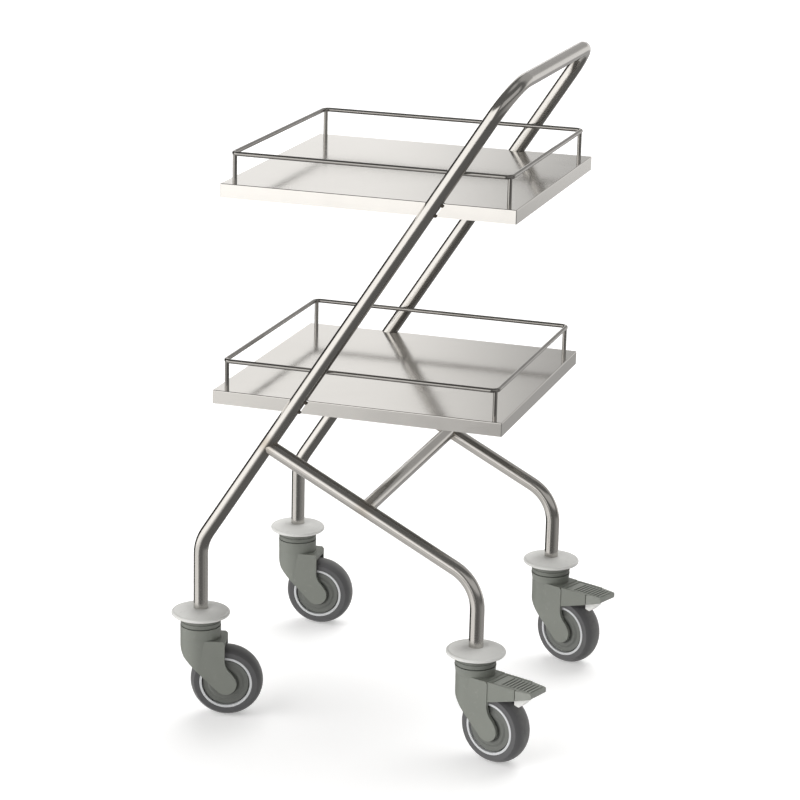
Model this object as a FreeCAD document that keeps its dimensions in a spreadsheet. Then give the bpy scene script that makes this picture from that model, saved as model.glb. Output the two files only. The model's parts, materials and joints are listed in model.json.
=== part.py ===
import FreeCAD, Part
import math
import os
import Sketcher
from FreeCAD import Placement, Rotation, Vector

# Instrument cart: one bent handle tube carries two folded trays and stands on four castors.
# X runs along the trays towards the handle, Y runs across, Z is up, and the floor is z = 0.

SIZES = {
    # trays
    "tray_length": 410, "tray_width": 390, "rim_height": 19, "sheet_thickness": 1.5,
    "tray_edge_round": 1.2, "upper_tray_top": 761, "lower_tray_top": 474, "lower_tray_x": -10,
    # gallery rails
    "rod_radius": 3, "rail_height": 39, "rail_inset_x": 12.2, "rail_inset_y": 13.5, "rail_bend": 9,
    "post_gap": 0.05,
    # tubes
    "tube_radius": 10, "tube_wall": 1.5, "frame_half_width": 195, "weld_gap": 0.15,
    "upright_x": 94.3, "upright_rise": 1.558, "handle_height": 920.5, "handle_bend": 52,
    "foot_bend": 62, "front_castor_x": -231.5, "rear_castor_x": 169.5,
    "leg_drop": 0.5208, "cross_x": 7.2, "cross_height": 331, "upright_low": 300, "saddle_reach": 40,
    # notches where the tray edges let the tubes through
    "notch_gap": 0.65, "notch_shift": 0.7, "bead_radius": 2.6, "bead_inset": 0.4, "bead_proud": 0.6,
    # castors
    "tube_foot": 148.5, "disc_radius": 41, "disc_bottom": 146.5, "disc_top": 156.5, "disc_edge": 5.4,
    "collar_radius": 28.2, "collar_bottom": 132.3, "collar_groove": 5.6, "groove_depth": 1,
    "stem_length": 40, "fit_gap": 0.05, "head_radius": 28.5, "head_top": 131.3,
    "head_corner": 106.5, "head_round": 35, "shoulder_drop": 1, "shoulder_half_width": 23.3,
    "shoulder_x": 4, "merge_drop": 18, "pivot_radius": 6, "pivot_bottom": 108, "running_gap": 0.05,
    "trail": 37, "wheel_radius": 51, "wheel_half_width": 16.6, "ring_radius": 37, "ring_band": 3.2,
    "ring_depth": 5.2, "fork_half_width": 22.5, "leg_thickness": 4.6, "arch_gap": 2.6,
    "leg_end_radius": 15.8, "leg_bend_top": 84, "fork_front": 36, "fork_top": 114,
    "brake_fork_top": 120.1, "axle_radius": 4, "bush_radius": 7,
    # brake
    "brake_half_width": 21.5, "brake_wall": 3, "brake_low": 90.9, "brake_end": 80,
    "pedal_gap": 1.3, "pedal_tip": 104.5, "rib_half_length": 14, "shoe_width": 16,
    "pedal_pivot_x": 46, "pedal_pivot_z": 108, "pin_radius": 2.5, "barrel_radius": 4.5,
    "plate_gap": 0.4, "plate_drop": 0.6, "plate_thickness": 5.5,
    "rib_count": 9, "rib_pitch": 5.6, "rib_width": 2.4, "rib_height": 1.6, "rib_root": 0.5,
}

# Each castor: its name, which end it stands at, which side, its swivel angle and its brake.
CASTORS = (
    ("front_left", "front", -1, 15.5, False),
    ("front_right", "front", 1, 4.0, False),
    ("rear_left", "rear", -1, -19.5, True),
    ("rear_right", "rear", 1, -21.5, True),
)

doc = FreeCAD.newDocument("instrument_cart")
sheet = doc.addObject("Spreadsheet::Sheet", "sizes")
for row, (alias, size) in enumerate(SIZES.items(), start=1):
    sheet.set("A%d" % row, alias)
    sheet.set("B%d" % row, str(size))
    sheet.setAlias("B%d" % row, alias)
working = doc.addObject("Spreadsheet::Sheet", "working")
doc.recompute()

subparts = []


def cell(alias):
    """The number that the sheet holds under this alias."""
    return float(sheet.get(alias))


def from_sheet(formula):
    """Puts the sheet's name before each alias in a formula."""
    words = []
    word = ""
    for letter in formula + " ":
        if letter.isalnum() or letter in "_.":
            word += letter
            continue
        words.append("sizes." + word if word in SIZES else word)
        words.append(letter)
        word = ""
    return "".join(words).strip()


def subpart(obj, label):
    """Records an object as a sub-part that is written to its own file."""
    obj.Label = label
    subparts.append(obj)
    return obj


def body(label):
    new = doc.addObject("PartDesign::Body", label)
    return subpart(new, label)


def plane(owner, role):
    return next(item for item in owner.Origin.OriginFeatures if item.Role == role)


def sketch(owner, name, role="XZ_Plane", lift=None):
    """A sketch on one of the body's origin planes, lifted off it by a formula."""
    new = owner.newObject("Sketcher::SketchObject", name)
    new.AttachmentSupport = (plane(owner, role), [""])
    new.MapMode = "FlatFace"
    if lift:
        new.setExpression("AttachmentOffset.Base.z", from_sheet(lift))
    return new


def pin_point(target, edge, end, corner):
    """Fixes one end of a sketch edge at a corner given by two formulas."""
    for kind, formula in zip(("DistanceX", "DistanceY"), corner):
        index = target.addConstraint(Sketcher.Constraint(kind, -1, 1, edge, end, value(formula)))
        target.setExpression("Constraints[%d]" % index, from_sheet(formula))


def value(formula):
    """Works a formula out, in a second sheet that no piece depends on."""
    working.set("A1", "=1 * (%s)" % from_sheet(formula))
    working.recompute()
    return float(working.get("A1"))


def outline(target, corners):
    """A closed outline; a corner with four formulas starts an arc through its last two."""
    count = len(corners)
    ends = []
    for index, corner in enumerate(corners):
        start = Vector(value(corner[0]), value(corner[1]), 0)
        after = corners[(index + 1) % count]
        stop = Vector(value(after[0]), value(after[1]), 0)
        if len(corner) == 2:
            edge = target.addGeometry(Part.LineSegment(start, stop), False)
            ends.append((edge, 1, 2))
            continue
        middle = Vector(value(corner[2]), value(corner[3]), 0)
        edge = target.addGeometry(Part.Arc(start, middle, stop), False)
        drawn = target.Geometry[edge]
        forward = (drawn.StartPoint - start).Length < (drawn.EndPoint - start).Length
        ends.append((edge, 1, 2) if forward else (edge, 2, 1))
        target.addConstraint(Sketcher.Constraint("Radius", edge, drawn.Radius))
    for index, corner in enumerate(corners):
        edge, first, last = ends[index]
        after = ends[(index + 1) % count]
        target.addConstraint(Sketcher.Constraint("Coincident", edge, last, after[0], after[1]))
        pin_point(target, edge, first, corner[:2])


def circle(target, across, up, radius):
    """Draws a circle whose centre and radius are bound to the sheet."""
    spot = Vector(value(across), value(up), 0)
    edge = target.addGeometry(Part.Circle(spot, Vector(0, 0, 1), value(radius)), False)
    pin_point(target, edge, 3, (across, up))
    index = target.addConstraint(Sketcher.Constraint("Radius", edge, value(radius)))
    target.setExpression("Constraints[%d]" % index, from_sheet(radius))


def pad(owner, name, profile, length, both_ways=False, pocket=False):
    """A Pad or a Pocket of a sketch, with its length bound to the sheet."""
    new = owner.newObject("PartDesign::Pocket" if pocket else "PartDesign::Pad", name)
    new.Profile = profile
    new.setExpression("Length", from_sheet(length))
    new.Midplane = both_ways
    return new


def cut_down(owner, name, profile, length, both_ways=False, reverse=False):
    """A Pocket that must remove material from the body."""
    before = owner.Tip
    doc.recompute()
    volume = before.Shape.Volume
    new = pad(owner, name, profile, length, both_ways, pocket=True)
    new.Reversed = reverse
    doc.recompute()
    if new.Shape.Volume >= volume:
        raise RuntimeError("%s cuts nothing from %s" % (name, owner.Label))
    return new


def turned(owner, name, corners):
    """A Revolution of a closed outline about the body's Z axis."""
    profile = sketch(owner, name + "_outline")
    outline(profile, corners)
    new = owner.newObject("PartDesign::Revolution", name)
    new.Profile = profile
    new.ReferenceAxis = (profile, ["V_Axis"])
    new.Angle = 360
    return new


def fillet(owner, name, radius, choose):
    """Rounds the edges of the body's last feature that choose() picks."""
    doc.recompute()
    base = owner.Tip
    names = ["Edge%d" % (n + 1) for n, edge in enumerate(base.Shape.Edges) if choose(edge)]
    if not names:
        raise RuntimeError("%s found no edge on %s" % (name, owner.Label))
    new = owner.newObject("PartDesign::Fillet", name)
    new.Base = (base, names)
    new.setExpression("Radius", from_sheet(radius))
    return new


def primitive(kind, name, place=Placement(), **formulas):
    """A Part primitive whose sizes are bound to the sheet."""
    new = doc.addObject("Part::" + kind, name)
    new.Placement = place
    for prop, formula in formulas.items():
        new.setExpression(prop, from_sheet(formula))
    return new


def cut(name, base, tools):
    """Base with each tool cut away in turn."""
    for index, tool in enumerate(tools):
        new = doc.addObject("Part::Cut", "%s_cut_%d" % (name, index))
        new.Base = base
        new.Tool = tool
        base = new
    return base


def group(name, members):
    """Several separate solids held as one object."""
    new = doc.addObject("Part::Compound", name)
    new.Links = members
    return new


def along(start, direction):
    """A placement at start whose Z axis points along direction."""
    return Placement(start, Rotation(Vector(0, 0, 1), direction))


# ---- tubes and rods ----

def path_edges(points, bend, closed):
    """Straight runs joined by tangent arcs of one bend radius."""
    count = len(points)
    turns = range(count) if closed else range(1, count - 1)
    ends = {index: (points[index], points[index]) for index in range(count)}
    arcs = {}
    for index in turns:
        here = points[index]
        back = (points[index - 1] - here).normalize()
        ahead = (points[(index + 1) % count] - here).normalize()
        half = back.getAngle(ahead) / 2
        setback = bend / math.tan(half)
        start = here + back * setback
        stop = here + ahead * setback
        middle_way = (back + ahead).normalize()
        middle = here + middle_way * (bend / math.sin(half) - bend)
        ends[index] = (start, stop)
        arcs[index] = Part.Arc(start, middle, stop).toShape()
    edges = []
    for index in range(count if closed else count - 1):
        after = (index + 1) % count
        if index in arcs:
            edges.append(arcs[index])
        edges.append(Part.LineSegment(ends[index][1], ends[after][0]).toShape())
    return edges


def bent_bar(name, points, bend, radius, inner=None, closed=False):
    """A round bar, or a tube when inner is given, swept along a bent path."""
    spine = doc.addObject("Part::Feature", name + "_path")
    edges = path_edges(points, bend, closed)
    if closed:
        edges = edges[1:] + edges[:1]
    spine.Shape = Part.Wire(edges)
    first = edges[0]
    start = first.valueAt(first.FirstParameter)
    way = first.tangentAt(first.FirstParameter)
    sweeps = []
    for role, size in (("outside", radius), ("inside", inner)):
        if size is None:
            continue
        ring = primitive("Circle", "%s_%s" % (name, role), along(start, way), Radius=size)
        sweep = doc.addObject("Part::Sweep", "%s_%s_sweep" % (name, role))
        sweep.Sections = [ring]
        sweep.Spine = (spine, ["Edge%d" % (n + 1) for n in range(len(edges))])
        sweep.Solid = True
        sweep.Frenet = False
        sweeps.append(sweep)
    return cut(name, sweeps[0], sweeps[1:])


def upright_at(height):
    """Where the sloping upright's centre line is at a height."""
    return cell("upright_x") + (height - cell("upper_tray_top")) / cell("upright_rise")


def upright_way():
    return Vector(1, 0, cell("upright_rise")).normalize()


def upright_tool(name, side, extra, shift=0.0):
    """A cylinder along one upright, wider than the tube by extra."""
    low = cell("upright_low")
    start = Vector(upright_at(low) + shift, side * cell("frame_half_width"), low)
    return primitive("Cylinder", name, along(start, upright_way()),
                     Radius="tube_radius + " + extra, Height="handle_height - upright_low")


def handle_frame():
    """One tube: two castor feet, two sloping uprights and the handle bar between them."""
    half = cell("frame_half_width")
    foot_x = cell("front_castor_x")
    knee = cell("upper_tray_top") + (foot_x - cell("upright_x")) * cell("upright_rise")
    top = Vector(upright_at(cell("handle_height")), 0, cell("handle_height"))
    near = [Vector(foot_x, -half, cell("tube_foot")), Vector(foot_x, -half, knee),
            Vector(top.x, -half, top.z)]
    far = [Vector(spot.x, half, spot.z) for spot in reversed(near)]
    # The handle corners are tighter than the knees, so the path is made in three stretches.
    corner = path_edges([near[1], near[2], far[0], far[1]], cell("handle_bend"), False)
    knee_near = path_edges([near[0], near[1], near[2]], cell("foot_bend"), False)
    knee_far = path_edges([far[0], far[1], far[2]], cell("foot_bend"), False)
    low_near = knee_near[1].valueAt(knee_near[1].LastParameter)
    high_near = corner[1].valueAt(corner[1].FirstParameter)
    high_far = corner[3].valueAt(corner[3].LastParameter)
    low_far = knee_far[1].valueAt(knee_far[1].FirstParameter)
    edges = knee_near[:2] + [Part.LineSegment(low_near, high_near).toShape()] + corner[1:4]
    edges += [Part.LineSegment(high_far, low_far).toShape()] + knee_far[1:]
    spine = doc.addObject("Part::Feature", "handle_frame_path")
    spine.Shape = Part.Wire(edges)
    sweeps = []
    for role, size in (("outside", "tube_radius"), ("inside", "tube_radius - tube_wall")):
        ring = primitive("Circle", "handle_frame_" + role, along(near[0], Vector(0, 0, 1)),
                         Radius=size)
        sweep = doc.addObject("Part::Sweep", "handle_frame_%s_sweep" % role)
        sweep.Sections = [ring]
        sweep.Spine = (spine, ["Edge%d" % (n + 1) for n in range(len(edges))])
        sweep.Solid = True
        sweeps.append(sweep)
    subpart(cut("handle_frame", sweeps[0], sweeps[1:]), "handle_frame")


def leg_height(x):
    """Where a rear leg's sloping centre line is at x."""
    return cell("cross_height") - (x - cell("cross_x")) * cell("leg_drop")


def rear_leg(side, word):
    """A bent tube welded to the upright below the lower tray, down to a rear castor."""
    half = side * cell("frame_half_width")
    rise = cell("upright_rise")
    level = cell("cross_height") + cell("cross_x") * cell("leg_drop")
    top_x = (level + rise * cell("upright_x") - cell("upper_tray_top")) / (rise + cell("leg_drop"))
    foot_x = cell("rear_castor_x")
    points = [Vector(top_x, half, leg_height(top_x)), Vector(foot_x, half, leg_height(foot_x)),
              Vector(foot_x, half, cell("tube_foot"))]
    tube = bent_bar("rear_leg_" + word, points, cell("foot_bend"), "tube_radius",
                    "tube_radius - tube_wall")
    saddle = upright_tool("leg_saddle_" + word, side, "weld_gap")
    subpart(cut("rear_leg_saddled_" + word, tube, [saddle]), "rear_leg_" + word)


def cross_tube():
    """A straight tube between the rear legs, its ends shaped to sit on them."""
    start = Vector(cell("cross_x"), -cell("frame_half_width"), cell("cross_height"))
    place = along(start, Vector(0, 1, 0))
    outside = primitive("Cylinder", "cross_outside", place, Radius="tube_radius",
                        Height="2 * frame_half_width")
    inside = primitive("Cylinder", "cross_inside", place, Radius="tube_radius - tube_wall",
                       Height="2 * frame_half_width")
    saddles = []
    way = Vector(1, 0, -cell("leg_drop")).normalize()
    for side, word in ((-1, "left"), (1, "right")):
        on_leg = Vector(start.x, side * cell("frame_half_width"), start.z)
        low_end = on_leg - way * cell("saddle_reach")
        saddles.append(primitive("Cylinder", "cross_saddle_" + word, along(low_end, way),
                                 Radius="tube_radius + weld_gap", Height="2 * saddle_reach"))
    subpart(cut("cross_tube", outside, [inside] + saddles), "cross_tube")


# ---- trays ----

def tray(word, centre_x, top_alias):
    """A sheet with its four rims folded down, notched for the uprights and drilled for posts."""
    folded = doc.addObject("PartDesign::Body", word + "_tray_sheet")
    blank = sketch(folded, "blank_outline", "XY_Plane", "-rim_height")
    half_x, half_y = "tray_length / 2", "tray_width / 2"
    outline(blank, [("-" + half_x, "-" + half_y), (half_x, "-" + half_y),
                    (half_x, half_y), ("-" + half_x, half_y)])
    pad(folded, "blank", blank, "rim_height")
    fillet(folded, "folds", "tray_edge_round",
           lambda edge: edge.BoundBox.ZMax > -0.01 or edge.BoundBox.ZLength > 1)
    under = sketch(folded, "under", "XY_Plane", "-rim_height")
    in_x, in_y = half_x + " - sheet_thickness", half_y + " - sheet_thickness"
    minus_x, minus_y = "sheet_thickness - " + half_x, "sheet_thickness - " + half_y
    outline(under, [(minus_x, minus_y), (in_x, minus_y), (in_x, in_y), (minus_x, in_y)])
    cut_down(folded, "hollow", under, "rim_height - sheet_thickness", reverse=True)
    drills = sketch(folded, "post_holes", "XY_Plane")
    for sign_x in ("", "-"):
        for sign_y in ("", "-"):
            circle(drills, "%s(tray_length / 2 - %s)" % (sign_x, post_inset("x")),
                   "%s(tray_width / 2 - %s)" % (sign_y, post_inset("y")), "rod_radius + post_gap")
    cut_down(folded, "post_drilling", drills, "2 * sheet_thickness")
    top = cell(top_alias)
    folded.Placement = Placement(Vector(centre_x, 0, top), Rotation())
    notches = []
    for side, name in ((-1, "left"), (1, "right")):
        notches.append(upright_tool("%s_notch_%s" % (word, name), side, "notch_gap",
                                    cell("notch_shift")))
    subpart(cut(word + "_tray", folded, notches), word + "_tray")


def post_inset(axis):
    """How far a post's centre is from the tray's edge: under the middle of the rail's bend."""
    return "(rail_inset_%s + rail_bend * %.6f)" % (axis, 1 - math.sqrt(0.5))


def rail(word, centre_x, top_alias):
    """A closed gallery rod above the tray, and the four posts that it stands on."""
    reach_x = cell("tray_length") / 2 - cell("rail_inset_x")
    reach_y = cell("tray_width") / 2 - cell("rail_inset_y")
    level = cell(top_alias) + cell("rail_height")
    signs = ((-1, -1), (1, -1), (1, 1), (-1, 1))
    loop = [Vector(centre_x + sx * reach_x, sy * reach_y, level) for sx, sy in signs]
    rod = bent_bar(word + "_rail", loop, cell("rail_bend"), "rod_radius", closed=True)
    subpart(rod, word + "_rail")
    saddle = bent_bar(word + "_post_saddle", loop, cell("rail_bend"), "rod_radius + post_gap / 2",
                      closed=True)
    post_x = cell("tray_length") / 2 - value(post_inset("x"))
    post_y = cell("tray_width") / 2 - value(post_inset("y"))
    posts = []
    for index, (sx, sy) in enumerate(signs):
        foot = Vector(centre_x + sx * post_x, sy * post_y, cell(top_alias) - cell("sheet_thickness"))
        posts.append(primitive("Cylinder", "%s_post_%d" % (word, index), Placement(foot, Rotation()),
                               Radius="rod_radius", Height="rail_height + sheet_thickness"))
    subpart(cut(word + "_posts", group(word + "_post_set", posts), [saddle]), word + "_rail_posts")


def tray_welds(word, top_alias):
    """Small beads that join a tray's rim to the uprights, at the rim's top and bottom."""
    half = cell("frame_half_width") + cell("bead_proud")
    high = cell("bead_radius") + cell("bead_inset")
    low = cell("rim_height") - cell("bead_radius") + 2 * cell("bead_inset")
    reach = cell("tube_radius") / math.sin(math.atan(cell("upright_rise"))) + cell("bead_proud") / 2
    beads = []
    tools = []
    for side, name in ((-1, "left"), (1, "right")):
        tools.append(upright_tool("%s_bead_tube_%s" % (word, name), side, "weld_gap / 5"))
        for place, depth in (("high", high), ("low", low)):
            height = cell(top_alias) - depth
            spot = Vector(upright_at(height) + reach, side * half, height)
            beads.append(primitive("Sphere", "%s_bead_%s_%s" % (word, name, place),
                                   Placement(spot, Rotation()), Radius="bead_radius"))
    tools.append(next(item for item in subparts if item.Label == word + "_tray"))
    subpart(cut(word + "_tray_welds", group(word + "_bead_set", beads), tools),
            word + "_tray_welds")


# ---- castors ----

def stand(owner, end, side, angle=0.0):
    """Places a castor piece on its swivel axis, turned to its swivel angle."""
    owner.Placement = Placement(Vector(0, 0, 0), Rotation(Vector(0, 0, 1), angle))
    owner.setExpression("Placement.Base.x", "sizes.%s_castor_x" % end)
    owner.setExpression("Placement.Base.y", "%d * sizes.frame_half_width" % side)


def bumper_disc(name, end, side):
    """A domed round buffer pushed onto the foot of the tube."""
    disc = body("bumper_" + name)
    hole = "tube_radius + weld_gap"
    turned(disc, "dome", [
        (hole, "disc_bottom"),
        ("disc_radius - disc_edge * 0.6", "disc_bottom",
         "disc_radius", "disc_bottom + disc_edge / 2"),
        ("disc_radius - disc_edge * 0.65", "disc_bottom + disc_edge",
         "disc_radius - disc_edge * 2.15", "disc_top - disc_edge * 0.215"),
        ("tube_radius + 3", "disc_top"), (hole, "disc_top"),
    ])
    stand(disc, end, side)


def collar(name, end, side):
    """The fixed top race cover, grooved round its side, that the bumper rests on."""
    ring = body("collar_" + name)
    groove, bed = "collar_bottom + collar_groove", "collar_radius - groove_depth"
    turned(ring, "cover", [
        ("pivot_radius", "collar_bottom"), ("collar_radius - 0.6", "collar_bottom"),
        ("collar_radius", "collar_bottom + 0.6"), ("collar_radius", groove),
        (bed, groove + " + groove_depth / 2"), (bed, groove + " + groove_depth * 1.3"),
        ("collar_radius", groove + " + groove_depth * 1.8"),
        ("collar_radius - 0.8", "disc_bottom"), ("pivot_radius", "disc_bottom"),
    ])
    stand(ring, end, side)


def stem(name, end, side):
    """The steel stem: a plug inside the tube, a shoulder and the pivot that the fork turns on."""
    plug = body("stem_" + name)
    inner = "tube_radius - tube_wall - fit_gap"
    turned(plug, "stud", [
        ("0", "pivot_bottom"), ("pivot_radius - 0.8", "pivot_bottom"),
        ("pivot_radius", "pivot_bottom + 0.8"), ("pivot_radius", "disc_bottom"),
        ("tube_radius", "disc_bottom"), ("tube_radius", "tube_foot"), (inner, "tube_foot"),
        (inner, "tube_foot + stem_length - 2"), (inner + " - 2", "tube_foot + stem_length"),
        ("0", "tube_foot + stem_length"),
    ])
    stand(plug, end, side)


def ellipse_sketch(owner, name, lift, across, along_y):
    """An ellipse at a height, drawn with its axes along X and Y."""
    target = sketch(owner, name, "XY_Plane", lift)
    wide, deep = value(across), value(along_y)
    shape = Part.Ellipse(Vector(wide, 0, 0), Vector(0, deep, 0), Vector(0, 0, 0))
    edge = target.addGeometry(shape, False)
    target.exposeInternalGeometry(edge)
    target.addConstraint(Sketcher.Constraint("Coincident", edge, 3, -1, 1))
    lines = [n for n in range(target.GeometryCount) if target.Geometry[n].TypeId == "Part::GeomLineSegment"]
    lengths = sorted(lines, key=lambda n: -target.Geometry[n].length())
    target.addConstraint(Sketcher.Constraint("Horizontal", lengths[0]))
    for line, formula in zip(lengths, (across, along_y)):
        index = target.addConstraint(Sketcher.Constraint("Distance", line, 2 * value(formula)))
        target.setExpression("Constraints[%d]" % index, "2 * (" + from_sheet(formula) + ")")
    return target


def fork(name, end, side, angle, top):
    """The moulded head with two legs that hold the wheel behind the swivel axis."""
    piece = body("fork_" + name)
    crown = sketch(piece, "crown", "XY_Plane", "head_top")
    circle(crown, "0", "0", "head_radius")
    shoulder = ellipse_sketch(piece, "shoulder", top + " - shoulder_drop", "head_radius",
                              "shoulder_half_width")
    # Below this level the round head runs smoothly into the flat outer faces of the legs.
    flush = "fork_half_width + fit_gap"
    merge = ellipse_sketch(piece, "merge", top + " - merge_drop", "head_radius", flush)
    waist = ellipse_sketch(piece, "waist", "wheel_radius + 8", "head_radius", flush)
    head = piece.newObject("PartDesign::AdditiveLoft", "head")
    head.Profile = crown
    head.Sections = [shoulder, merge, waist]
    head.Ruled = True
    # Where the slope under the head meets the round leg ends.
    low_u, low_z = "trail - leg_end_radius * 0.75", "wheel_radius - leg_end_radius * 0.66"
    legs = sketch(piece, "legs_outline")
    outline(legs, [
        ("shoulder_x", top), ("fork_front - 3", top), ("fork_front", top + " - 3"),
        ("fork_front", "leg_bend_top", "fork_front + 2.8", "leg_bend_top - 9.5"),
        ("fork_front + 9.5", "leg_bend_top - 17.5"),
        ("trail + leg_end_radius * 0.87", "wheel_radius + leg_end_radius * 0.5"),
        ("trail", "wheel_radius"), (low_u, low_z),
        ("0", "wheel_radius + 8"), ("0", "wheel_radius + 39"),
        ("shoulder_x", "wheel_radius + 39"),
    ])
    pad(piece, "legs", legs, "2 * fork_half_width", both_ways=True)
    ends = sketch(piece, "leg_ends_outline")
    circle(ends, "trail", "wheel_radius", "leg_end_radius")
    pad(piece, "leg_ends", ends, "2 * fork_half_width", both_ways=True)
    # The head is cut off along a slope that runs down to the leg ends.
    slope = sketch(piece, "slope_outline")
    outline(slope, [
        ("-head_radius - 5", "head_corner"),
        ("-head_radius", "head_corner",
         "head_round * 0.05 - head_radius", "head_corner - head_round * 0.312"),
        ("head_round * 0.195 - head_radius", "head_corner - head_round * 0.593"),
        (low_u, low_z), (low_u, "0"), ("-head_radius - 5", "0"),
    ])
    cut_down(piece, "slope", slope, "4 * head_radius", both_ways=True)
    arch = sketch(piece, "arch_outline")
    circle(arch, "trail", "wheel_radius", "wheel_radius + arch_gap")
    cut_down(piece, "arch", arch, "2 * (fork_half_width - leg_thickness)", both_ways=True)
    bore = sketch(piece, "bore_outline", "XY_Plane", "head_top")
    circle(bore, "0", "0", "pivot_radius + running_gap")
    cut_down(piece, "bore", bore, "head_top - pivot_bottom + 1")
    hole = sketch(piece, "axle_hole_outline")
    circle(hole, "trail", "wheel_radius", "axle_radius")
    cut_down(piece, "axle_hole", hole, "2 * fork_half_width - 2", both_ways=True)
    stand(piece, end, side, angle)


def on_wheel(owner, end, side, angle):
    """Places a turned piece on the wheel's centre, with its own Z axis along the axle."""
    turn = Rotation(Vector(0, 0, 1), angle).multiply(Rotation(Vector(1, 0, 0), -90))
    owner.Placement = Placement(Vector(0, 0, 0), turn)
    ahead, across = math.cos(math.radians(angle)), math.sin(math.radians(angle))
    owner.setExpression("Placement.Base.x", "sizes.%s_castor_x + %.9f * sizes.trail" % (end, ahead))
    owner.setExpression("Placement.Base.y", "%d * sizes.frame_half_width + %.9f * sizes.trail"
                        % (side, across))
    owner.setExpression("Placement.Base.z", "sizes.wheel_radius")


def axle(name, end, side, angle):
    """The pin between the fork's legs, hidden by their closed outer skins."""
    rod = body("axle_" + name)
    reach = "(fork_half_width - 1.05)"
    turned(rod, "rod", [("0", "-" + reach), ("axle_radius", "-" + reach),
                        ("axle_radius", reach), ("0", reach)])
    on_wheel(rod, end, side, angle)


def wheel_bush(name, end, side, angle):
    """A plain sleeve that runs on the axle."""
    sleeve = body("wheel_bush_" + name)
    reach = "(fork_half_width - leg_thickness - 0.5)"
    turned(sleeve, "sleeve", [
        ("axle_radius + running_gap", "-" + reach), ("bush_radius", "-" + reach),
        ("bush_radius", reach), ("axle_radius + running_gap", reach),
    ])
    on_wheel(sleeve, end, side, angle)


def wheel_core(name, end, side, angle):
    """The moulded wheel centre: a boss, a flat web on each side and a rim under the tyre."""
    core = body("wheel_core_" + name)
    web, seat = "(wheel_half_width - 2.4)", "(wheel_half_width - ring_depth)"
    crest, boss = "(wheel_half_width - 0.8)", "(wheel_half_width + 0.8)"
    half = [
        ("bush_radius", boss), ("bush_radius + 4", boss), ("bush_radius + 5.5", web),
        ("bush_radius + 9", web), ("bush_radius + 12", crest), ("bush_radius + 16", crest),
        ("bush_radius + 19", web), ("ring_radius - ring_band - 2", web),
        ("ring_radius - ring_band - 1.2", seat), ("ring_radius - 0.02", seat),
    ]
    turned(core, "disc", half + [(out, "-" + up) for out, up in reversed(half)])
    on_wheel(core, end, side, angle)


def wheel_rings(name, end, side, angle):
    """The thin pale rings, one on each side, between the web and the tyre."""
    rings = []
    face, seat = "(wheel_half_width - 0.1)", "(wheel_half_width - ring_depth + 0.02)"
    for word, low, high in (("near", "-" + face, "-" + seat), ("far", seat, face)):
        ring = doc.addObject("PartDesign::Body", "wheel_ring_%s_%s" % (word, name))
        turned(ring, "band", [
            ("ring_radius - ring_band", low), ("ring_radius - 0.02", low),
            ("ring_radius - 0.02", high), ("ring_radius - ring_band", high),
        ])
        on_wheel(ring, end, side, angle)
        rings.append(ring)
    subpart(group("wheel_rings_" + name, rings), "wheel_rings_" + name)


def tyre(name, end, side, angle):
    """The rubber tread, flat sided with a round crown."""
    tread = body("tyre_" + name)
    turned(tread, "tread", [
        ("ring_radius", "-wheel_half_width + 0.6"), ("ring_radius + 1.2", "-wheel_half_width"),
        ("wheel_radius - 6.5", "-wheel_half_width", "wheel_radius", "0"),
        ("wheel_radius - 6.5", "wheel_half_width"), ("ring_radius + 1.2", "wheel_half_width"),
        ("ring_radius", "wheel_half_width - 0.6"),
    ])
    on_wheel(tread, end, side, angle)


def brake_housing(name, end, side, angle):
    """Two side walls that carry the brake pedal in front of the fork, joined by a short bridge."""
    walls = body("brake_housing_" + name)
    side_view = sketch(walls, "side_view")
    outline(side_view, [
        ("fork_front + 0.02", "brake_low"), ("brake_end", "brake_low + 13.5"),
        ("brake_end", "brake_fork_top"), ("fork_front + 0.02", "brake_fork_top"),
    ])
    pad(walls, "block", side_view, "2 * brake_half_width", both_ways=True)
    inside = sketch(walls, "inside_view")
    outline(inside, [
        ("fork_front", "brake_low - 5"), ("brake_end + 5", "brake_low - 5"),
        ("brake_end + 5", "brake_fork_top + 5"), ("fork_front + 5.5", "brake_fork_top + 5"),
        ("fork_front + 5.5", "brake_fork_top - 3"), ("fork_front", "brake_fork_top - 3"),
    ])
    cut_down(walls, "inside", inside, "2 * (brake_half_width - brake_wall)", both_ways=True)
    hole = sketch(walls, "pin_hole")
    circle(hole, "pedal_pivot_x", "pedal_pivot_z", "pin_radius")
    cut_down(walls, "pin_holes", hole, "2 * brake_half_width - 2", both_ways=True)
    stand(walls, end, side, angle)


def brake_pin(name, end, side, angle):
    """The cross pin that the pedal turns on, held in the housing's side walls."""
    pin = body("brake_pin_" + name)
    ends = sketch(pin, "section")
    circle(ends, "pedal_pivot_x", "pedal_pivot_z", "pin_radius")
    pad(pin, "rod", ends, "2 * brake_half_width - 2.1", both_ways=True)
    stand(pin, end, side, angle)


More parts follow.
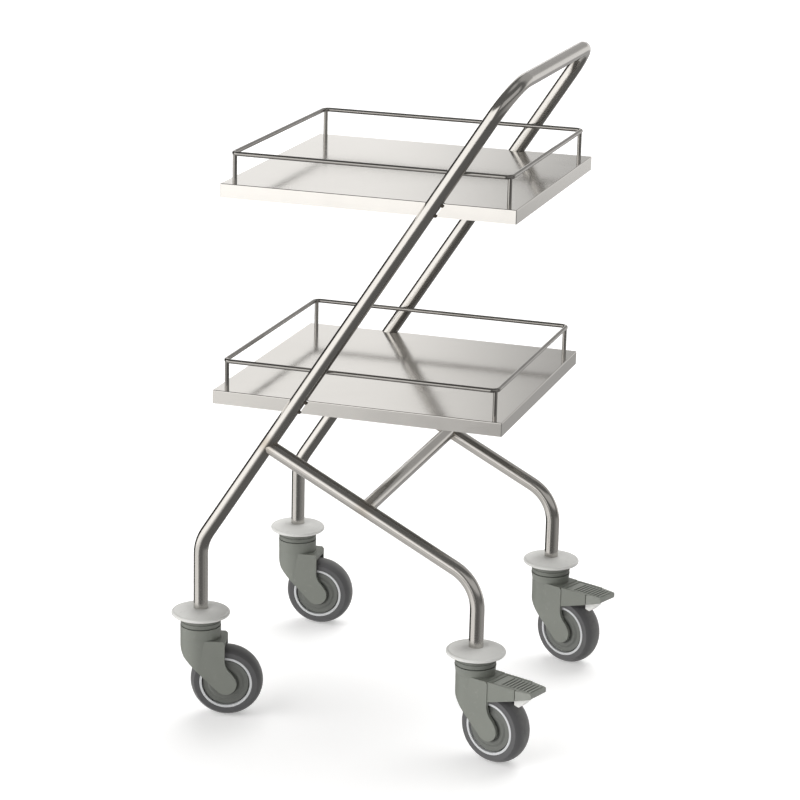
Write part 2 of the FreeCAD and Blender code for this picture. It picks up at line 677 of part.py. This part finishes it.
def pedal(name, end, side, angle):
    """The foot pedal: a plate between the housing's walls, ending in a wider ribbed toe."""
    lever = body("pedal_" + name)
    plate = sketch(lever, "plate_view")
    top = "(brake_fork_top - plate_drop)"
    plate_width = "2 * (brake_half_width - brake_wall - plate_gap)"
    outline(plate, [
        ("pedal_pivot_x - 4", top), ("pedal_pivot_x - 4", "pedal_pivot_z"),
        ("pedal_pivot_x + 4", "pedal_pivot_z"), ("pedal_pivot_x + 6", top + " - plate_thickness"),
        ("brake_end + pedal_gap + 1", top + " - plate_thickness"), ("brake_end + pedal_gap + 1", top),
    ])
    pad(lever, "plate", plate, plate_width, both_ways=True)
    barrel = sketch(lever, "barrel_view")
    circle(barrel, "pedal_pivot_x", "pedal_pivot_z", "barrel_radius")
    pad(lever, "barrel", barrel, plate_width, both_ways=True)
    toe = sketch(lever, "toe_view")
    heel = "brake_end + pedal_gap"
    outline(toe, [
        (heel, "brake_low + 14"), ("pedal_tip - 1.5", "brake_low + 20.5"),
        ("pedal_tip", "brake_low + 22"), ("pedal_tip", top + " - 1.5"),
        ("pedal_tip - 1.5", top), (heel, top),
    ])
    pad(lever, "toe", toe, "2 * brake_half_width", both_ways=True)
    for word, sign in (("left", "-"), ("right", "")):
        taper = sketch(lever, "taper_" + word, "XY_Plane", "brake_fork_top + 5")
        outline(taper, [
            (heel, sign + "brake_half_width"), ("pedal_tip + 1", sign + "(brake_half_width - 4)"),
            ("pedal_tip + 1", sign + "(brake_half_width + 5)"),
            (heel, sign + "(brake_half_width + 5)"),
        ])
        cut_down(lever, "taper_cut_" + word, taper, "2 * (brake_fork_top - brake_low)")
    bore = sketch(lever, "bore_view")
    circle(bore, "pedal_pivot_x", "pedal_pivot_z", "pin_radius + running_gap")
    cut_down(lever, "bore", bore, "4 * brake_half_width", both_ways=True)
    ribs = sketch(lever, "rib_plan", "XY_Plane", top + " - rib_root")
    first = "pedal_tip - 3.4"
    outline(ribs, [
        (first, "-rib_half_length"), (first, "rib_half_length"),
        (first + " - rib_width", "rib_half_length"), (first + " - rib_width", "-rib_half_length"),
    ])
    rib = pad(lever, "rib", ribs, "rib_height + rib_root")
    doc.recompute()
    row = lever.newObject("PartDesign::LinearPattern", "rib_row")
    row.Originals = [rib]
    row.Direction = (ribs, ["H_Axis"])
    row.Reversed = True
    row.setExpression("Length", "sizes.rib_pitch * (sizes.rib_count - 1)")
    row.setExpression("Occurrences", "sizes.rib_count")
    lever.Tip = row
    stand(lever, end, side, angle)


def brake_shoe(name, end, side, angle):
    """The white block under the pedal that is pressed onto the tyre."""
    shoe = body("brake_shoe_" + name)
    side_view = sketch(shoe, "side_view")
    heel = "brake_end + pedal_gap"
    under = "(brake_fork_top - plate_drop - plate_thickness - fit_gap)"
    outline(side_view, [
        (heel + " - 11", under), (heel + " - 9.5", "wheel_radius + 41.5"),
        (heel + " - 2.5", "wheel_radius + 39.8"), (heel + " + 6.5", "wheel_radius + 48"),
        (heel + " + 9", "brake_low + 16.2"), (heel + " - 0.1", "brake_low + 13.6"),
        (heel + " - 0.1", under),
    ])
    pad(shoe, "block", side_view, "shoe_width", both_ways=True)
    stand(shoe, end, side, angle)


def castor(name, end, side, angle, brake):
    """Every piece of one castor, from the bumper on the tube down to the tyre."""
    bumper_disc(name, end, side)
    collar(name, end, side)
    stem(name, end, side)
    fork(name, end, side, angle, "brake_fork_top" if brake else "fork_top")
    for piece in (axle, wheel_bush, wheel_core, wheel_rings, tyre):
        piece(name, end, side, angle)
    if brake:
        for piece in (brake_housing, brake_pin, pedal, brake_shoe):
            piece(name, end, side, angle)


def main():
    handle_frame()
    rear_leg(-1, "left")
    rear_leg(1, "right")
    cross_tube()
    for word, centre_x, top in (("upper", 0.0, "upper_tray_top"),
                                ("lower", cell("lower_tray_x"), "lower_tray_top")):
        tray(word, centre_x, top)
        rail(word, centre_x, top)
        tray_welds(word, top)
    for name, end, side, angle, brake in CASTORS:
        castor(name, end, side, angle, brake)


main()
doc.recompute()

for item in doc.Objects:
    if "Invalid" in item.State or "Error" in item.State:
        raise RuntimeError("%s failed: %s" % (item.Label, item.State))

os.makedirs("parts", exist_ok=True)
for item in subparts:
    shape = item.Shape
    if shape.isNull() or not shape.isValid() or not shape.Solids:
        raise RuntimeError("%s has no valid solid" % item.Label)
    print("%-28s %d solids %10.1f mm3" % (item.Label, len(shape.Solids), shape.Volume))
    shape.exportStep("parts/%s.step" % item.Label)
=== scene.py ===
import json
import math

import bpy
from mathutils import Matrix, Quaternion, Vector


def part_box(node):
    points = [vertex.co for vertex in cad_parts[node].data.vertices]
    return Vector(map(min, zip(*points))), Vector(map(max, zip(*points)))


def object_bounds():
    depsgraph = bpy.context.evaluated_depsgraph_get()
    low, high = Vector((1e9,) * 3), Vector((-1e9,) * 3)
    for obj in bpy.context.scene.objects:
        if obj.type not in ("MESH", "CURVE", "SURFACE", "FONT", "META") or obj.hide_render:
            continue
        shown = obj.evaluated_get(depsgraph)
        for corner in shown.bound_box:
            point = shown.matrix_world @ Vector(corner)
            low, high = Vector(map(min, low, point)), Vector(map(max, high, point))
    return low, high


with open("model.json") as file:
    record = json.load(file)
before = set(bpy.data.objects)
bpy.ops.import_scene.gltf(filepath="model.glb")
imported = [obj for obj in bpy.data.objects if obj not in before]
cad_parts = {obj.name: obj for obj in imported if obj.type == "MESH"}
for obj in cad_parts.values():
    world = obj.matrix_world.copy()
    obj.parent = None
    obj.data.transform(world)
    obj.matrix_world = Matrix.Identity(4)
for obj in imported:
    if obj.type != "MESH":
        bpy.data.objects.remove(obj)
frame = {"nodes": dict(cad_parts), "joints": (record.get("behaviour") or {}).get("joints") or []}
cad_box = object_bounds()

# Gives the cart's frame its materials and stands it in a plain white studio. The cart's front is towards -X,
# its handle and brakes are at the rear, towards +X, and its left is towards -Y.
NODES = frame["nodes"]
JOINTS = {joint["name"]: joint for joint in frame["joints"]}
CASTORS = ("front_left", "front_right", "rear_left", "rear_right")
BRAKED = ("rear_left", "rear_right")

# Directions that the tubes run in, and the one that the trays are wiped in.
UPRIGHT_WAY = Vector((0.540, 0.0, 0.842))
LEG_WAY = Vector((0.887, 0.0, -0.462))
ACROSS = Vector((0.0, 1.0, 0.0))
LENGTHWISE = Vector((1.0, 0.0, 0.0))
WIPING_WAY = Vector((0.8, 0.6, 0.0))

# Each metal's colours, where it is darkest and where it is brightest.
TUBE_COLOURS = ((0.50, 0.485, 0.46), (0.63, 0.615, 0.59))
TRAY_COLOURS = ((0.66, 0.645, 0.62), (0.74, 0.725, 0.70))
ROD_COLOURS = ((0.26, 0.252, 0.24), (0.42, 0.408, 0.39))
# The weld beads' near-black colours are partly their heat tint and partly painted shade for the dark gaps
# where the trays are notched round the tubes.
BEAD_BURN_AND_SHADE_COLOURS = ((0.07, 0.06, 0.05), (0.22, 0.19, 0.16))
TURNED_COLOURS = ((0.42, 0.41, 0.39), (0.56, 0.55, 0.53))

# The tint that welding heat leaves on a tube, and how far from the weld it reaches.
HEAT_TINT = (0.30, 0.23, 0.15)
HEAT_REACH = 0.022

# Each plastic: its colour where dark and where light, its roughness where smooth and where rough, the depth
# of its grain, the depth of the waves in its face, and the colour that it rubs to, if any.
GRAIN = 0.000035
FINE_GRAIN = 0.000020
POLISHED = 0.000010
FLAT = 0.00015
WAVY = 0.0030
PLASTICS = {
    "bumper": ((0.60, 0.60, 0.58), (0.67, 0.67, 0.65), 0.42, 0.55, FINE_GRAIN, WAVY, (0.42, 0.42, 0.40)),
    "fork": ((0.165, 0.175, 0.155), (0.195, 0.205, 0.182), 0.40, 0.52, GRAIN, FLAT, (0.30, 0.31, 0.28)),
    "pedal": ((0.21, 0.22, 0.20), (0.27, 0.28, 0.255), 0.38, 0.50, GRAIN, FLAT, (0.36, 0.37, 0.34)),
    "collar": ((0.135, 0.142, 0.128), (0.17, 0.18, 0.16), 0.42, 0.55, GRAIN, FLAT, None),
    "core": ((0.112, 0.118, 0.108), (0.140, 0.146, 0.134), 0.38, 0.50, GRAIN, FLAT, None),
    "ring": ((0.50, 0.51, 0.52), (0.58, 0.59, 0.60), 0.30, 0.40, POLISHED, FLAT, None),
    "bush": ((0.02, 0.02, 0.02), (0.03, 0.03, 0.03), 0.40, 0.50, GRAIN, FLAT, None),
    "shoe": ((0.74, 0.74, 0.72), (0.82, 0.82, 0.80), 0.30, 0.40, POLISHED, FLAT, None),
}

# The tyres' rubber, how dark its streaks are, and the dust that thickens between two distances from the axle.
RUBBER_COLOUR = (0.086, 0.086, 0.089)
STREAK_SHADE = 0.88
DUST_COLOUR = (0.20, 0.198, 0.190)
DUST_STARTS = 0.0485
DUST_ENDS = 0.0510

# The radius of the worn edges on the moulded pieces that have them. Only a sharper turn than this is an edge.
WORN_EDGES = {"fork": 0.0008, "pedal": 0.0005, "brake_housing": 0.0005}
EDGE_DEGREES = 32.0
EDGE_STEPS = 3

# The studio's floor, backdrop and lamps. Each lamp: its name, the way towards it, and its strength.
STAGE_SIZE = 60.0
FLOOR_COLOURS = ((0.90, 0.90, 0.90), (0.92, 0.92, 0.92))
FLOOR_GLOW = 0.33
BACKDROP_RADIUS = 0.7 * STAGE_SIZE
BACKDROP_COLOURS = ((1.0, 1.0, 1.0), (0.99, 0.99, 0.99))
BLACK = (0.0, 0.0, 0.0)
LIGHT_SPREAD = 60.0
LIGHTS = (
    ("key_light", (-0.55, -0.55, 0.45), 1.45),
    ("top_light", (0.05, 0.50, 0.86), 1.95),
)

# The dark room that the steel mirrors. It grows brighter low down at the cart's front: the two fades give the
# mirrored direction's X and Z parts where the brighter area starts and where it is full.
AIR_TINT = (1.0, 0.985, 0.965)
ROOM_DARK = 0.16
ROOM_LOW_FRONT = 0.72
FRONT_FADE = (0.05, -0.40)
LOW_FADE = (-0.30, -0.50)

# The bright and dark panels in that room. Each panel: the heading of its middle from +X and the half widths
# of its full and faded parts, all in degrees, the sine of the elevation of its lower and upper edges, and its
# brightness. A later panel covers an earlier one, and PANEL_EDGE is how far an edge fades to either side.
PANEL_EDGE = 0.05
PANELS = (
    (0.0, 170.0, 179.0, 0.97, 1.50, 0.60),  # overhead
    (-30.0, 35.0, 50.0, 0.08, 0.55, 0.60),  # rear left, above level
    (50.0, 30.0, 110.0, -0.55, -0.16, 0.43),  # rear right, low
    (72.0, 22.0, 45.0, 0.14, 0.92, 0.48),  # right, above level
    (68.0, 18.0, 34.0, -0.20, 0.14, 0.96),  # right, level
    (120.0, 11.0, 17.0, 0.08, 0.50, 1.02),  # front right, above level
    (112.0, 14.0, 21.0, -0.02, 0.155, 1.15),  # front right, level
    (-143.0, 26.0, 42.0, -0.55, -0.24, 1.10),  # front left, low
    (-134.0, 36.0, 50.0, -0.24, 0.45, 1.66),  # front left, level
    (154.0, 17.0, 26.0, -0.45, 0.36, 0.03),  # front, dark
)


# ---------------------------------------------------------------- node helpers


def start_material(name, **settings):
    """A new material, its node tree and its shader, with the shader's plain values set on its sockets."""
    made = bpy.data.materials.new(name)
    made.use_nodes = True
    shader = made.node_tree.nodes["Principled BSDF"]
    for socket, amount in settings.items():
        shader.inputs[socket.replace("_", " ")].default_value = amount
    return made, made.node_tree, shader


def put(tree, kind, values=None, **settings):
    """Adds a node. A value that is another node's output is linked, and any other is set on the socket."""
    made = tree.nodes.new("ShaderNode" + kind)
    for name, setting in settings.items():
        setattr(made, name, setting)
    for socket, amount in (values or {}).items():
        if isinstance(amount, bpy.types.NodeSocket):
            tree.links.new(amount, made.inputs[socket])
        else:
            made.inputs[socket].default_value = amount
    return made


def object_place(tree):
    """A point's place in the object's own frame, in metres."""
    return put(tree, "TexCoord").outputs["Object"]


def noise(tree, place, scale, detail=3.0, roughness=0.5):
    """Plain noise, from 0 to 1, with scale in cells to a metre."""
    values = {"Vector": place, "Scale": scale, "Detail": detail, "Roughness": roughness}
    return put(tree, "TexNoise", values).outputs["Fac"]


def grain(tree, way, fine, long):
    """Noise drawn out into lines along one direction, with fine cells a metre across them and long along."""
    turn = way.rotation_difference(LENGTHWISE).to_euler()
    turned = put(tree, "Mapping", {"Vector": object_place(tree), "Rotation": turn})
    drawn = put(tree, "Mapping", {"Vector": turned.outputs["Vector"], "Scale": (long, fine, fine)})
    return noise(tree, drawn.outputs["Vector"], scale=1.0, detail=4.0, roughness=0.6)


def ramp(tree, amount, start, end, low, high):
    """Takes the range start to end evenly to the range low to high, and holds the ends beyond it."""
    values = {"Value": amount, "From Min": start, "From Max": end, "To Min": low, "To Max": high}
    return put(tree, "MapRange", values).outputs["Result"]


def spread(tree, amount, low, high):
    """Takes noise to the range low to high, by the stretch in which most of its values lie."""
    return ramp(tree, amount, start=0.25, end=0.75, low=low, high=high)


def step(tree, amount, low, high):
    """0 at low and beyond it, 1 at high and beyond it, smooth between them; low may be the greater."""
    values = {"Value": amount, "From Min": low, "From Max": high, "To Min": 0.0, "To Max": 1.0}
    return put(tree, "MapRange", values, interpolation_type="SMOOTHSTEP").outputs["Result"]


def opaque(colour):
    """A colour of three numbers with an alpha of 1."""
    return (*colour, 1.0)


def between(tree, share, first, second):
    """A colour between two colours, each a fixed one or another node's output. Sockets 6 and 7 hold them."""
    made = put(tree, "Mix", data_type="RGBA")
    for socket, source in ((made.inputs["Factor"], share), (made.inputs[6], first), (made.inputs[7], second)):
        if isinstance(source, bpy.types.NodeSocket):
            tree.links.new(source, socket)
        else:
            socket.default_value = opaque(source)
    return made.outputs[2]


def plus(tree, first, second):
    """The sum of two values."""
    return put(tree, "Math", {0: first, 1: second}, operation="ADD").outputs["Value"]


def times(tree, first, second):
    """The product of two values."""
    return put(tree, "Math", {0: first, 1: second}, operation="MULTIPLY").outputs["Value"]


def relief(tree, height, depth, strength, under=None):
    """Bump from a height of 0 to 1, depth metres deep, on top of another bump where one is given."""
    values = {"Height": height, "Distance": depth, "Strength": strength}
    if under is not None:
        values["Normal"] = under
    return put(tree, "Bump", values).outputs["Normal"]


def feed(tree, shader, **sources):
    """Links sources to the shader's sockets by name."""
    for socket, source in sources.items():
        tree.links.new(source, shader.inputs[socket.replace("_", " ")])


def nearness(tree, place, centre, reach):
    """1 at a point of the object, falling to 0 at a distance of reach metres."""
    apart = put(tree, "VectorMath", {0: place, 1: centre}, operation="DISTANCE").outputs["Value"]
    return step(tree, apart, low=reach, high=0.0)


def highest(tree, amounts):
    """The highest of several values."""
    top = amounts[0]
    for amount in amounts[1:]:
        top = put(tree, "Math", {0: top, 1: amount}, operation="MAXIMUM").outputs["Value"]
    return top


# ------------------------------------------------------------------- materials


def tube_steel(name, way, welds):
    """Satin stainless tube: fine polishing lines, soft smudges, and a faint straw tint at each weld."""
    made, tree, shader = start_material(name, Metallic=1.0)
    place = object_place(tree)
    lines = grain(tree, way, fine=2600.0, long=60.0)
    smudges = noise(tree, place, scale=9.0, detail=5.0, roughness=0.65)
    steel = between(tree, smudges, *TUBE_COLOURS)
    heat = highest(tree, [nearness(tree, place, weld, HEAT_REACH) for weld in welds])
    tint = times(tree, heat, spread(tree, smudges, low=0.3, high=0.9))
    polish = spread(tree, lines, low=-0.02, high=0.02)
    handling = spread(tree, smudges, low=0.14, high=0.21)
    feed(tree, shader,
         Base_Color=between(tree, tint, steel, HEAT_TINT),
         Roughness=plus(tree, polish, handling),
         Normal=relief(tree, lines, depth=0.000006, strength=0.6))
    return made


def tray_steel(name):
    """Fine-ground sheet: lines along the tray, a soft mirror, and a few wiping marks."""
    made, tree, shader = start_material(name, Metallic=1.0)
    lines = grain(tree, LENGTHWISE, fine=3000.0, long=25.0)
    wipes = grain(tree, WIPING_WAY, fine=30.0, long=7.0)
    clouds = noise(tree, object_place(tree), scale=5.0, detail=4.0, roughness=0.6)
    grinding = spread(tree, lines, low=-0.02, high=0.02)
    wiping = spread(tree, wipes, low=0.11, high=0.16)
    feed(tree, shader,
         Base_Color=between(tree, clouds, *TRAY_COLOURS),
         Roughness=plus(tree, grinding, wiping),
         Normal=relief(tree, lines, depth=0.000004, strength=0.5))
    return made


def rod_steel(name):
    """Drawn rod in darker and brighter patches, the brighter ones a little rougher, with a fine skin."""
    made, tree, shader = start_material(name, Metallic=1.0)
    place = object_place(tree)
    patches = noise(tree, place, scale=40.0, detail=4.0, roughness=0.6)
    fine = noise(tree, place, scale=2200.0)
    feed(tree, shader,
         Base_Color=between(tree, patches, *ROD_COLOURS),
         Roughness=spread(tree, patches, low=0.08, high=0.16),
         Normal=relief(tree, fine, depth=0.000004, strength=0.5))
    return made


def weld_steel(name):
    """A small weld bead with a rippled skin, near black: partly the tint of its heat, partly painted shade
    for the dark gaps where the trays are notched round the tubes.
    """
    made, tree, shader = start_material(name, Metallic=1.0)
    place = object_place(tree)
    ripples = put(tree, "TexWave", {"Vector": place, "Scale": 420.0, "Distortion": 3.0}).outputs["Fac"]
    burn_and_shade = noise(tree, place, scale=260.0)
    feed(tree, shader,
         Base_Color=between(tree, burn_and_shade, *BEAD_BURN_AND_SHADE_COLOURS),
         Roughness=spread(tree, burn_and_shade, low=0.35, high=0.6),
         Normal=relief(tree, ripples, depth=0.00025, strength=0.6))
    return made


def turned_steel(name):
    """The plain turned steel of stems, axles and pins."""
    made, tree, shader = start_material(name, Metallic=1.0)
    rings = noise(tree, object_place(tree), scale=900.0)
    feed(tree, shader,
         Base_Color=between(tree, rings, *TURNED_COLOURS),
         Roughness=spread(tree, rings, low=0.25, high=0.4),
         Normal=relief(tree, rings, depth=0.00001, strength=0.5))
    return made


def moulded(name, dark, light, smooth, rough, texture, waves, rubbed):
    """Moulded plastic: a fine grain over a faintly uneven face, with scuffs that shine a little."""
    made, tree, shader = start_material(name, IOR=1.5)
    place = object_place(tree)
    mottle = noise(tree, place, scale=22.0, detail=4.0, roughness=0.6)
    pitting = noise(tree, place, scale=1900.0, detail=2.0)
    scuffs = noise(tree, place, scale=120.0, detail=6.0, roughness=0.75)
    colour = between(tree, mottle, dark, light)
    if rubbed is not None:
        worn = ramp(tree, scuffs, start=0.58, end=0.72, low=0.0, high=0.35)
        colour = between(tree, worn, colour, rubbed)
    broad = relief(tree, mottle, depth=waves, strength=0.35)
    feed(tree, shader,
         Base_Color=colour,
         Roughness=spread(tree, scuffs, low=smooth, high=rough),
         Normal=relief(tree, pitting, depth=texture, strength=0.6, under=broad))
    return made


def tyre_rubber(name, centre, axle):
    """Grey rubber. Its tread, at the greatest distance from the axle, is duller and dusty from the floor."""
    made, tree, shader = start_material(name, IOR=1.5, Sheen_Weight=0.15)
    place = object_place(tree)
    arm = put(tree, "VectorMath", {0: place, 1: centre}, operation="SUBTRACT").outputs["Vector"]
    out = put(tree, "VectorMath", {0: arm, 1: axle}, operation="CROSS_PRODUCT").outputs["Vector"]
    radius = put(tree, "VectorMath", {0: out}, operation="LENGTH").outputs["Value"]
    dust = ramp(tree, radius, start=DUST_STARTS, end=DUST_ENDS, low=0.0, high=0.6)
    streaks = noise(tree, place, scale=160.0, detail=5.0, roughness=0.7)
    patchy = times(tree, dust, spread(tree, streaks, low=0.2, high=1.0))
    rubber = between(tree, streaks, tuple(STREAK_SHADE * part for part in RUBBER_COLOUR), RUBBER_COLOUR)
    fine = noise(tree, place, scale=1500.0, detail=2.0)
    feed(tree, shader,
         Base_Color=between(tree, patchy, rubber, DUST_COLOUR),
         Roughness=spread(tree, streaks, low=0.42, high=0.58),
         Normal=relief(tree, fine, depth=0.00003, strength=0.5))
    return made


# ------------------------------------------------------------------ dressing


def dress(node, material):
    """Gives a node of the frame its material."""
    slots = NODES[node].data.materials
    slots.clear()
    slots.append(material)


def soften(piece, castor):
    """Rounds a moulded piece's edges a little."""
    worn = NODES[f"{piece}_{castor}"].modifiers.new("soft_edges", "BEVEL")
    worn.width = WORN_EDGES[piece]
    worn.segments = EDGE_STEPS
    worn.limit_method = "ANGLE"
    worn.angle_limit = math.radians(EDGE_DEGREES)
    worn.harden_normals = True


def leg_weld_places():
    """Where each rear leg meets its upright, and where the cross tube's ends meet the legs."""
    places = []
    for side in ("left", "right"):
        low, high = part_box(f"rear_leg_{side}")
        places.append((low[0], (low[1] + high[1]) / 2.0, high[2]))
    low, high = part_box("cross_tube")
    middle = (Vector(low) + Vector(high)) / 2.0
    for end in (low[1], high[1]):
        places.append((middle.x, end, middle.z))
    return places


def dress_frame():
    """Tubes, trays, rails and welds."""
    welds = leg_weld_places()
    upright = tube_steel("upright_steel", UPRIGHT_WAY, welds[:2])
    leg = tube_steel("leg_steel", LEG_WAY, welds)
    cross = tube_steel("cross_steel", ACROSS, welds[2:])
    sheet = tray_steel("tray_steel")
    rod = rod_steel("rod_steel")
    bead = weld_steel("weld_steel")
    dress("handle_frame", upright)
    dress("rear_leg_left", leg)
    dress("rear_leg_right", leg)
    dress("cross_tube", cross)
    for tray in ("upper", "lower"):
        dress(f"{tray}_tray", sheet)
        dress(f"{tray}_rail", rod)
        dress(f"{tray}_rail_posts", rod)
        dress(f"{tray}_tray_welds", bead)


def dress_castor(castor, plastics, steel):
    """Everything below one foot of the frame."""
    spin = JOINTS[f"wheel_spin_{castor}"]
    plastic_of = {"bumper": "bumper", "collar": "collar", "fork": "fork", "wheel_core": "core",
                  "wheel_rings": "ring", "wheel_bush": "bush"}
    for piece, plastic in plastic_of.items():
        dress(f"{piece}_{castor}", plastics[plastic])
    for piece in ("stem", "axle"):
        dress(f"{piece}_{castor}", steel)
    dress(f"tyre_{castor}", tyre_rubber(f"tyre_rubber_{castor}", spin["pos_m"], spin["axis"]))
    soften("fork", castor)


def dress_brake(castor, plastics, steel):
    """The foot brake of one castor."""
    for piece, plastic in (("brake_housing", "fork"), ("pedal", "pedal"), ("brake_shoe", "shoe")):
        dress(f"{piece}_{castor}", plastics[plastic])
    dress(f"brake_pin_{castor}", steel)
    for piece in ("pedal", "brake_housing"):
        soften(piece, castor)


# --------------------------------------------------------------------- studio


def floor():
    """A wide pale floor under the wheels, which polished steel does not mirror."""
    bpy.ops.mesh.primitive_plane_add(size=STAGE_SIZE, location=(0.0, 0.0, cad_box[0].z))
    plane = bpy.context.object
    plane.name = "studio_floor"
    plane.visible_glossy = False
    made, tree, shader = start_material("floor_paint", Roughness=0.8, Emission_Strength=FLOOR_GLOW)
    cloud = noise(tree, object_place(tree), scale=1.2)
    paint = between(tree, cloud, *FLOOR_COLOURS)
    feed(tree, shader, Base_Color=paint, Emission_Color=paint)
    plane.data.materials.append(made)


def backdrop():
    """A white shell far round the floor, seen only directly."""
    bpy.ops.mesh.primitive_uv_sphere_add(segments=48, ring_count=24, radius=BACKDROP_RADIUS)
    shell = bpy.context.object
    shell.name = "studio_backdrop"
    made, tree, shader = start_material("backdrop_white", Roughness=1.0, Emission_Strength=1.0)
    cloud = noise(tree, object_place(tree), scale=0.05)
    paint = between(tree, cloud, *BACKDROP_COLOURS)
    feed(tree, shader, Emission_Color=paint)
    shader.inputs["Base Color"].default_value = opaque(BLACK)
    shell.data.materials.append(made)
    for ray in ("diffuse", "glossy", "transmission", "shadow", "volume_scatter"):
        setattr(shell, "visible_" + ray, False)


def sun(name, toward, strength):
    """Even light from one side of the room, soft because its source is wide."""
    lamp = bpy.data.lights.new(name, "SUN")
    lamp.energy = strength
    lamp.angle = math.radians(LIGHT_SPREAD)
    made = bpy.data.objects.new(name, lamp)
    bpy.context.collection.objects.link(made)
    made.rotation_mode = "QUATERNION"
    made.rotation_quaternion = Vector(toward).to_track_quat("Z", "Y")
    made.visible_glossy = False


def facing(tree, level_way, heading, inner, outer):
    """1 within inner degrees of a compass heading, falling to 0 at outer degrees."""
    turn = math.radians(heading)
    aim = (math.cos(turn), math.sin(turn), 0.0)
    near = put(tree, "VectorMath", {0: level_way, 1: aim}, operation="DOT_PRODUCT").outputs["Value"]
    return step(tree, near, math.cos(math.radians(outer)), math.cos(math.radians(inner)))


def surroundings():
    """What the polished steel mirrors: panels in a darker room, each by heading and height."""
    world = bpy.data.worlds.new("studio_air")
    bpy.context.scene.world = world
    world.use_nodes = True
    tree = world.node_tree
    way = put(tree, "TexCoord").outputs["Generated"]
    parts = put(tree, "SeparateXYZ", {0: way}).outputs
    flat = put(tree, "VectorMath", {0: way, 1: (1.0, 1.0, 0.0)}, operation="MULTIPLY").outputs["Vector"]
    level_way = put(tree, "VectorMath", {0: flat}, operation="NORMALIZE").outputs["Vector"]
    height = parts["Z"]
    low_front = times(tree, step(tree, parts["X"], *FRONT_FADE), step(tree, height, *LOW_FADE))
    light = ramp(tree, low_front, start=0.0, end=1.0, low=ROOM_DARK, high=ROOM_LOW_FRONT)
    for heading, inner, outer, low, high, strength in PANELS:
        mask = facing(tree, level_way, heading, inner, outer)
        for edge, soft in ((low, PANEL_EDGE), (high, -PANEL_EDGE)):
            mask = times(tree, mask, step(tree, height, edge - soft, edge + soft))
        light = put(tree, "Mix", {0: mask, 2: light, 3: strength}, data_type="FLOAT").outputs[0]
    air = tree.nodes["Background"]
    air.inputs["Color"].default_value = opaque(AIR_TINT)
    tree.links.new(light, air.inputs["Strength"])


def studio():
    """The surroundings, the backdrop, and two wide soft lamps: one from the cart's front left and one from
    high over its right."""
    surroundings()
    backdrop()
    for name, toward, strength in LIGHTS:
        sun(name, toward, strength)


def camera():
    """A long lens, well above the cart and on its left, a little towards its handle end."""
    lens = 120.0
    azimuth = math.radians(17.825)
    elevation = math.radians(16.362)
    roll = math.radians(1.345)
    distance = 3.758
    aim = Vector((-0.0093, 0.0, 0.4298))
    back = Vector((math.sin(azimuth) * math.cos(elevation),
                   -math.cos(azimuth) * math.cos(elevation),
                   math.sin(elevation)))
    eye = bpy.data.cameras.new("studio_camera")
    eye.lens = lens
    made = bpy.data.objects.new("studio_camera", eye)
    bpy.context.collection.objects.link(made)
    made.location = aim + back * distance
    made.rotation_mode = "QUATERNION"
    made.rotation_quaternion = (-back).to_track_quat("-Z", "Y") @ Quaternion((0.0, 0.0, 1.0), roll)
    bpy.context.scene.camera = made


def main():
    plastics = {name: moulded(f"{name}_plastic", *settings) for name, settings in PLASTICS.items()}
    steel = turned_steel("turned_steel")
    dress_frame()
    for castor in CASTORS:
        dress_castor(castor, plastics, steel)
    for castor in BRAKED:
        dress_brake(castor, plastics, steel)
    floor()
    studio()
    camera()
    bpy.context.scene.view_settings.view_transform = "Standard"


main()
